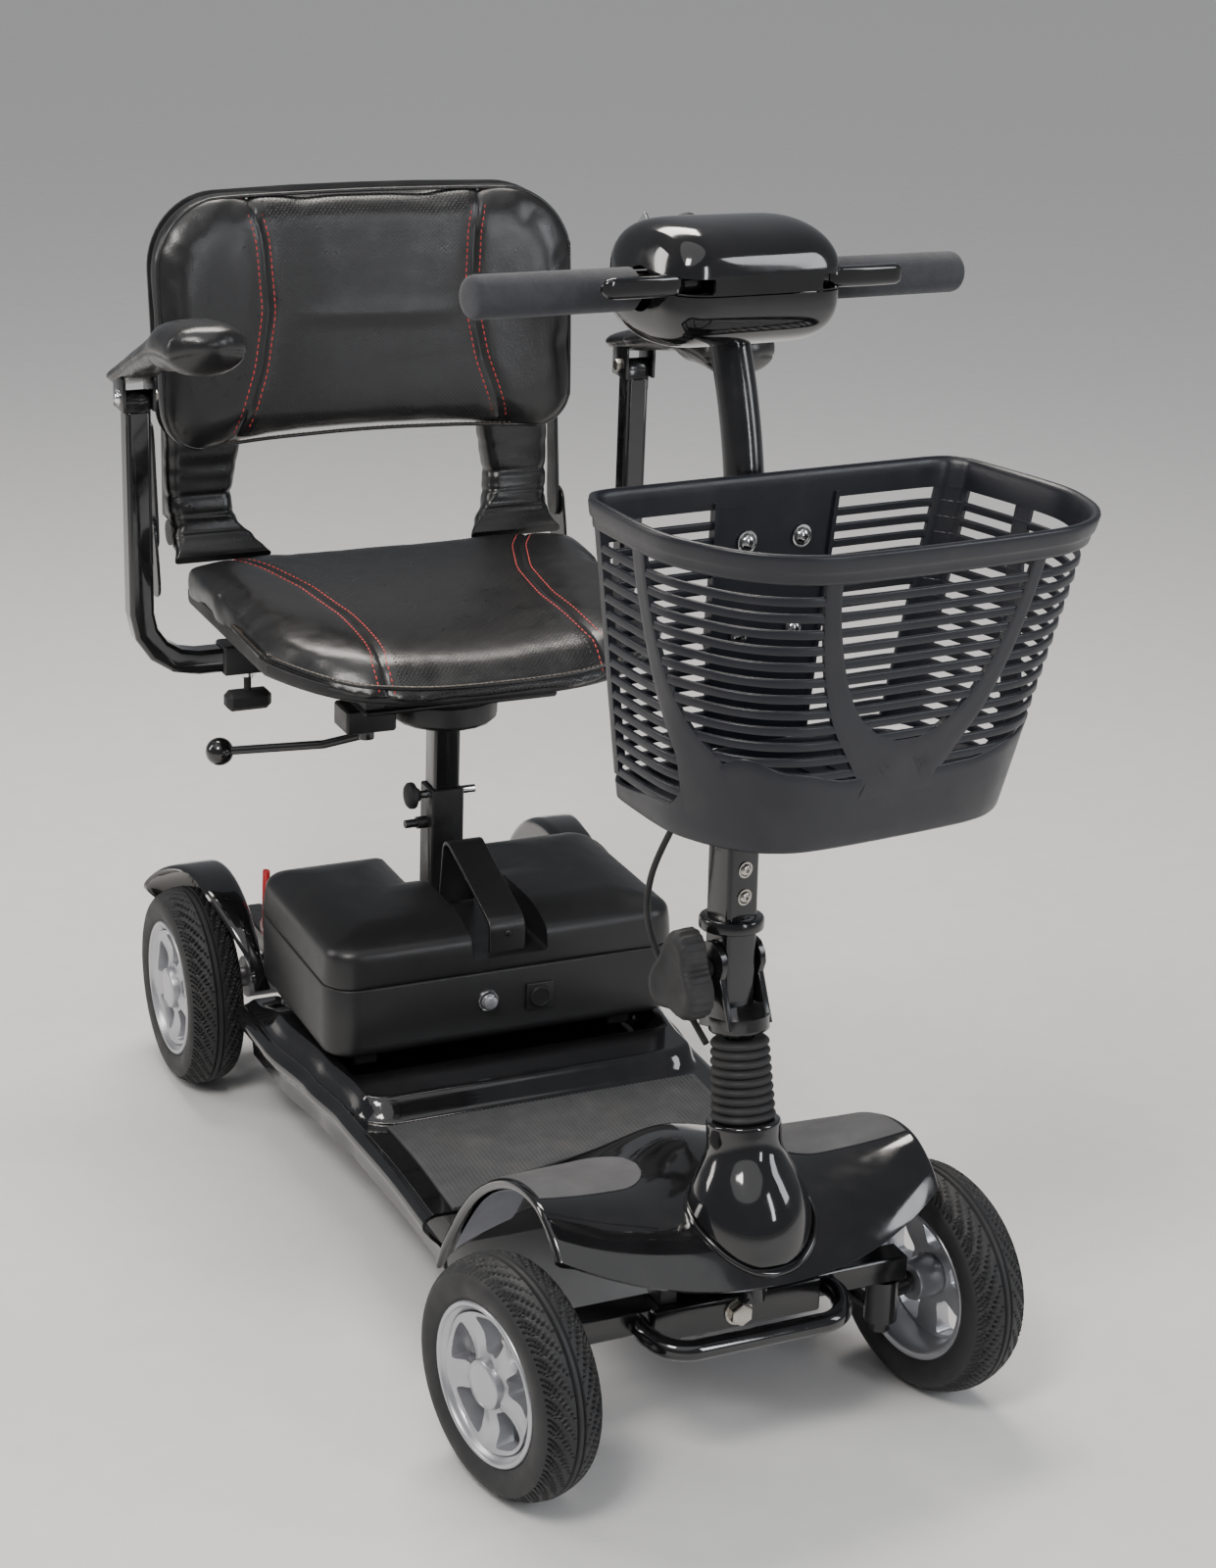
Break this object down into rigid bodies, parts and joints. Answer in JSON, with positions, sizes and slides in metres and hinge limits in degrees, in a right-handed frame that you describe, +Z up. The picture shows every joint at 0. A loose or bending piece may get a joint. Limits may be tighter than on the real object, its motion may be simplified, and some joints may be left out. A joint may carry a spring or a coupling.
{
  "type": "mobility scooter",
  "caption": "Four-wheeled battery mobility scooter with a folding tiller, front basket, swivel seat with folding back, flip-up armrests and a lift-out battery.",
  "frame": {"origin": "on the floor, under the middle of the bounding box with the tiller turned 11 degrees as pictured", "axes": "+Z up; the scooter faces -Y, so +Y points to its rear; +X is the rider's left"},
  "size_m": [0.5926, 1.1083, 0.9814],
  "materials": {
    "gloss_black": "gloss",
    "frame_black": "satin",
    "satin_plastic": "satin",
    "grey_plastic": "fine texture",
    "rubber": "matte",
    "tyre": "matte",
    "mat_rubber": "matte",
    "foam": "matte",
    "leatherette": "soft sheen",
    "silver_paint": "metallic",
    "bright_steel": "polished",
    "cast_alloy": "cast",
    "red_plastic": "semi-gloss"
  },
  "bodies": {
    "chassis": {"front_axle_beam": "frame_black", "front_bumper": "gloss_black", "mudguard_right": "gloss_black", "mudguard_left": "gloss_black", "deck_frame": "frame_black", "deck_shell": "gloss_black", "deck_mat": "mat_rubber", "front_fairing": "gloss_black", "column_cowl": "gloss_black", "steering_boot": "rubber", "rear_frame": "frame_black", "transaxle": "cast_alloy", "seat_post_sleeve": "frame_black"},
    "right_knuckle": {"knuckle_right": "frame_black"},
    "left_knuckle": {"knuckle_left": "frame_black"},
    "right_tie_rod": {"tie_rod_right": "frame_black"},
    "left_tie_rod": {"tie_rod_left": "frame_black"},
    "wheel_front_right": {"tyre_front_right": "tyre", "rim_front_right": "silver_paint"},
    "wheel_front_left": {"tyre_front_left": "tyre", "rim_front_left": "silver_paint"},
    "wheel_rear_right": {"tyre_rear_right": "tyre", "rim_rear_right": "silver_paint"},
    "wheel_rear_left": {"tyre_rear_left": "tyre", "rim_rear_left": "silver_paint"},
    "steering": {"steering_stem": "frame_black", "wiring_cable": "rubber"},
    "tiller": {"tiller_tube": "gloss_black", "basket_bracket": "frame_black", "basket": "grey_plastic", "handlebar": "bright_steel", "grip_right": "foam", "grip_left": "foam", "console_base": "gloss_black", "console_cover": "gloss_black"},
    "clamp_knob": {"tiller_knob": "grey_plastic"},
    "dial": {"speed_dial": "grey_plastic"},
    "key": {"ignition_key": "bright_steel"},
    "horn": {"horn_button": "red_plastic"},
    "throttle": {"throttle_lever": "gloss_black"},
    "drive_release": {"freewheel_lever": "red_plastic"},
    "locking_pin": {"seat_pin": "bright_steel"},
    "battery": {"battery_tray": "satin_plastic", "battery_cover": "satin_plastic", "battery_cells": "grey_plastic", "battery_handle": "satin_plastic"},
    "breaker": {"breaker_button": "silver_paint"},
    "port_cap": {"charge_port_cap": "satin_plastic"},
    "post": {"seat_post": "frame_black"},
    "seat": {"seat_base": "frame_black", "seat_cushion": "leatherette"},
    "swivel_release": {"swivel_lever": "frame_black"},
    "backrest": {"backrest_frame": "frame_black", "backrest_cushion": "leatherette"},
    "right_armrest": {"armrest_tube_right": "gloss_black"},
    "left_armrest": {"armrest_tube_left": "gloss_black"},
    "right_pad": {"armrest_pad_right": "leatherette"},
    "left_pad": {"armrest_pad_left": "leatherette"},
    "right_clamp": {"armrest_knob_right": "satin_plastic"},
    "left_clamp": {"armrest_knob_left": "satin_plastic"}
  },
  "joints": [
    {"name": "steering_turn", "type": "hinge", "parent": "chassis", "child": "steering", "pos_m": [0, -0.3665, 0.291], "axis": [0, 0.2079, 0.9781], "range_deg": [-46, 24]},
    {"name": "knuckle_right_turn", "type": "hinge", "parent": "chassis", "child": "right_knuckle", "pos_m": [-0.145, -0.3575, 0.1], "axis": [0, 0, 1], "range_deg": [-46.5, 24.5]},
    {"name": "knuckle_left_turn", "type": "hinge", "parent": "chassis", "child": "left_knuckle", "pos_m": [0.145, -0.3575, 0.1], "axis": [0, 0, 1], "range_deg": [-46.5, 24.5]},
    {"name": "tie_rod_right_turn", "type": "hinge", "parent": "right_knuckle", "child": "right_tie_rod", "pos_m": [-0.15944, -0.2839, 0.09], "axis": [0, 0, 1], "range_deg": [-24.5, 46.5]},
    {"name": "tie_rod_left_turn", "type": "hinge", "parent": "left_knuckle", "child": "left_tie_rod", "pos_m": [0.13056, -0.2839, 0.09], "axis": [0, 0, 1], "range_deg": [-24.5, 46.5]},
    {"name": "wheel_front_right_spin", "type": "hinge", "parent": "right_knuckle", "child": "wheel_front_right", "pos_m": [-0.19505, -0.36732, 0.1], "axis": [0.9813, 0.1925, 0], "continuous": true},
    {"name": "wheel_rear_right_spin", "type": "hinge", "parent": "chassis", "child": "wheel_rear_right", "pos_m": [-0.213, 0.4255, 0.1], "axis": [1, 0, 0], "continuous": true},
    {"name": "wheel_front_left_spin", "type": "hinge", "parent": "left_knuckle", "child": "wheel_front_left", "pos_m": [0.19505, -0.34768, 0.1], "axis": [0.9813, 0.1925, 0], "continuous": true},
    {"name": "wheel_rear_left_spin", "type": "hinge", "parent": "chassis", "child": "wheel_rear_left", "pos_m": [0.213, 0.4255, 0.1], "axis": [1, 0, 0], "continuous": true},
    {"name": "tiller_fold", "type": "hinge", "parent": "steering", "child": "tiller", "pos_m": [-0.00165, -0.33366, 0.40503], "axis": [0.9813, 0.1883, -0.04], "range_deg": [-27, 6], "deforming": ["wiring_cable"]},
    {"name": "tiller_knob_turn", "type": "hinge", "parent": "tiller", "child": "clamp_knob", "pos_m": [-0.023, -0.33778, 0.41191], "axis": [0.9813, 0.1883, -0.04], "continuous": true},
    {"name": "speed_dial_turn", "type": "hinge", "parent": "tiller", "child": "dial", "pos_m": [-0.004, -0.20338, 0.96028], "axis": [-0.1185, 0.7548, 0.6452], "range_deg": [-135, 135]},
    {"name": "ignition_key_turn", "type": "hinge", "parent": "tiller", "child": "key", "pos_m": [-0.03933, -0.21016, 0.96172], "axis": [-0.1185, 0.7548, 0.6452], "range_deg": [-90, 0]},
    {"name": "horn_button_press", "type": "slide", "parent": "tiller", "child": "horn", "axis": [0.1185, -0.7548, -0.6452], "range_m": [0, 0.0028], "stiffness_N_per_m": 400},
    {"name": "throttle_rock", "type": "hinge", "parent": "tiller", "child": "throttle", "pos_m": [0.01185, -0.29037, 0.93976], "axis": [0.04, 0.0038, 0.9992], "range_deg": [-6, 6], "stiffness_Nm_per_rad": 1.2},
    {"name": "freewheel_lever_turn", "type": "hinge", "parent": "chassis", "child": "drive_release", "pos_m": [-0.15, 0.3805, 0.172], "axis": [-1, 0, 0], "range_deg": [0, 35]},
    {"name": "seat_pin_pull", "type": "slide", "parent": "chassis", "child": "locking_pin", "axis": [-1, 0, 0], "range_m": [0, 0.026], "stiffness_N_per_m": 300},
    {"name": "battery_lift", "type": "slide", "parent": "chassis", "child": "battery", "axis": [0, 0, 1], "range_m": [0, 0.045]},
    {"name": "breaker_button_pop", "type": "slide", "parent": "battery", "child": "breaker", "axis": [0, -1, 0], "range_m": [0, 0.003]},
    {"name": "charge_port_cap_open", "type": "hinge", "parent": "battery", "child": "port_cap", "pos_m": [0.03, 0.1073, 0.2015], "axis": [-1, 0, 0], "range_deg": [0, 100]},
    {"name": "seat_height", "type": "slide", "parent": "chassis", "child": "post", "axis": [0, 0, 1], "range_m": [0, 0.05]},
    {"name": "seat_swivel_turn", "type": "hinge", "parent": "post", "child": "seat", "pos_m": [0, 0.2875, 0.41], "axis": [0, 0, 1], "continuous": true},
    {"name": "swivel_lever_turn", "type": "hinge", "parent": "seat", "child": "swivel_release", "pos_m": [-0.084, 0.2735, 0.405], "axis": [0, 0, 1], "range_deg": [0, 18], "stiffness_Nm_per_rad": 2},
    {"name": "backrest_fold", "type": "hinge", "parent": "seat", "child": "backrest", "pos_m": [0, 0.5265, 0.544], "axis": [1, 0, 0], "range_deg": [0, 60]},
    {"name": "armrest_right_slide", "type": "slide", "parent": "seat", "child": "right_armrest", "axis": [-1, 0, 0], "range_m": [0, 0.05]},
    {"name": "armrest_right_flip", "type": "hinge", "parent": "right_armrest", "child": "right_pad", "pos_m": [-0.257, 0.4325, 0.706], "axis": [-1, 0, 0], "range_deg": [0, 70]},
    {"name": "armrest_right_knob_turn", "type": "hinge", "parent": "seat", "child": "right_clamp", "pos_m": [-0.15, 0.4325, 0.4285], "axis": [0, 0, 1], "range_deg": [-180, 180]},
    {"name": "armrest_left_slide", "type": "slide", "parent": "seat", "child": "left_armrest", "axis": [1, 0, 0], "range_m": [0, 0.05]},
    {"name": "armrest_left_flip", "type": "hinge", "parent": "left_armrest", "child": "left_pad", "pos_m": [0.257, 0.4325, 0.706], "axis": [-1, 0, 0], "range_deg": [0, 70]},
    {"name": "armrest_left_knob_turn", "type": "hinge", "parent": "seat", "child": "left_clamp", "pos_m": [0.15, 0.4325, 0.4285], "axis": [0, 0, 1], "range_deg": [-180, 180]}
  ],
  "couplings": [
    {"joint": "knuckle_right_turn", "follows": "steering_turn", "ratio": 1},
    {"joint": "knuckle_left_turn", "follows": "steering_turn", "ratio": 1},
    {"joint": "tie_rod_right_turn", "follows": "steering_turn", "ratio": -1},
    {"joint": "tie_rod_left_turn", "follows": "steering_turn", "ratio": -1}
  ]
}
